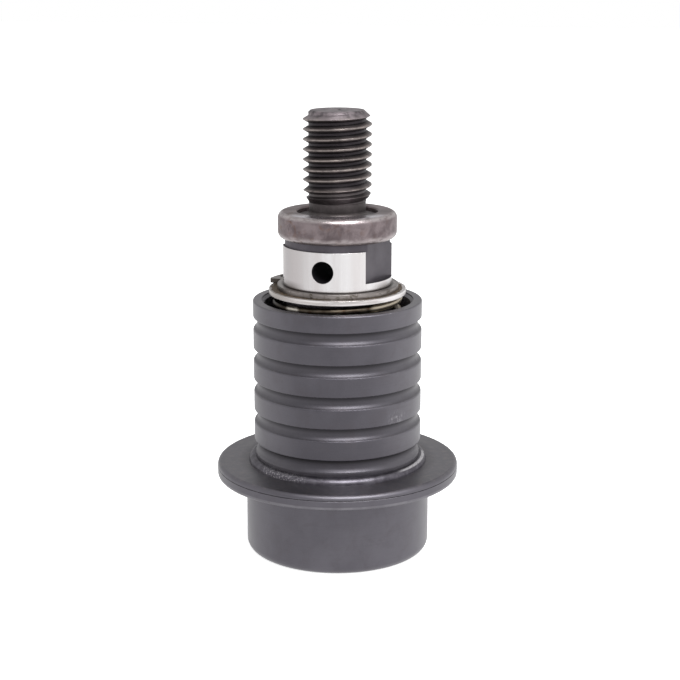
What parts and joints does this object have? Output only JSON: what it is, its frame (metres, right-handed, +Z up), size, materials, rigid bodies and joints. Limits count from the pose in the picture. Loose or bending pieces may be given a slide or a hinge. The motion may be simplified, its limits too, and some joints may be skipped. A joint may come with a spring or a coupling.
{
  "type": "quick-change drill chuck",
  "caption": "Quick-change drill chuck: threaded stud on top, ball-lock hex socket below, spring-loaded ribbed sleeve with flange and skirt.",
  "frame": {"origin": "on the spindle's axis at the skirt's lower rim, where the chuck stands", "axes": "+Z up along the spindle's axis, from the socket to the threaded stud; the cross hole runs along Y"},
  "size_m": [0.0576, 0.0574, 0.1047],
  "materials": {
    "spindle_steel": "turned steel: black oxide stud and flats, bright ground band",
    "collar_steel": "worn, blotchy brown-grey oxide with bright worn edges",
    "ring_steel": "stamped spring steel with brown grime",
    "spring_steel": "oiled spring wire",
    "washer_steel": "hardened washer",
    "bright_steel": "bright stamped washer with brown grime on top",
    "oxide_steel": "satin dark grey oxide",
    "bead_steel": "rough bead, bright where it is rubbed",
    "felt": "oiled felt",
    "ball_steel": "polished bearing steel",
    "seal_rubber": "black nitrile",
    "insert_steel": "hardened broached steel",
    "plunger_brass": "turned brass"
  },
  "bodies": {
    "spindle": {"spindle": "spindle_steel", "thrust_collar": "collar_steel", "upper_retaining_ring": "ring_steel", "sleeve_spring": "spring_steel", "spring_top_washer": "bright_steel", "nose_stop_washer": "washer_steel", "nose_retaining_ring": "ring_steel", "guide_o_ring": "seal_rubber", "hex_drive_insert": "insert_steel", "insert_lock_pin": "insert_steel", "ejector_spring": "spring_steel"},
    "sleeve": {"grip_sleeve": "oxide_steel", "flange_skirt": "oxide_steel", "joint_bead": "bead_steel", "skirt_retaining_ring": "ring_steel", "spring_seat_washer": "washer_steel", "wiper_ring": "felt"},
    "ball_1": {"locking_ball_1": "ball_steel"},
    "ball_2": {"locking_ball_2": "ball_steel"},
    "ball_3": {"locking_ball_3": "ball_steel"},
    "ejector": {"ejector_plunger": "plunger_brass"}
  },
  "joints": [
    {"name": "sleeve_slide", "type": "slide", "parent": "spindle", "child": "sleeve", "axis": [0, 0, 1], "range_m": [0, 0.008], "stiffness_N_per_m": 4000, "springref_m": -0.006, "deforming": ["sleeve_spring"]},
    {"name": "ball_1_slide", "type": "slide", "parent": "spindle", "child": "ball_1", "axis": [0, 1, 0], "range_m": [0, 0.0017]},
    {"name": "ball_2_slide", "type": "slide", "parent": "spindle", "child": "ball_2", "axis": [-0.866, -0.5, 0], "range_m": [0, 0.0017]},
    {"name": "ball_3_slide", "type": "slide", "parent": "spindle", "child": "ball_3", "axis": [0.866, -0.5, 0], "range_m": [0, 0.0017]},
    {"name": "ejector_slide", "type": "slide", "parent": "spindle", "child": "ejector", "axis": [0, 0, 1], "range_m": [0, 0.008], "stiffness_N_per_m": 600, "springref_m": -0.005, "deforming": ["ejector_spring"]}
  ],
  "couplings": [
    {"joint": "ball_1_slide", "follows": "sleeve_slide", "ratio": 0.2125},
    {"joint": "ball_2_slide", "follows": "sleeve_slide", "ratio": 0.2125},
    {"joint": "ball_3_slide", "follows": "sleeve_slide", "ratio": 0.2125}
  ]
}
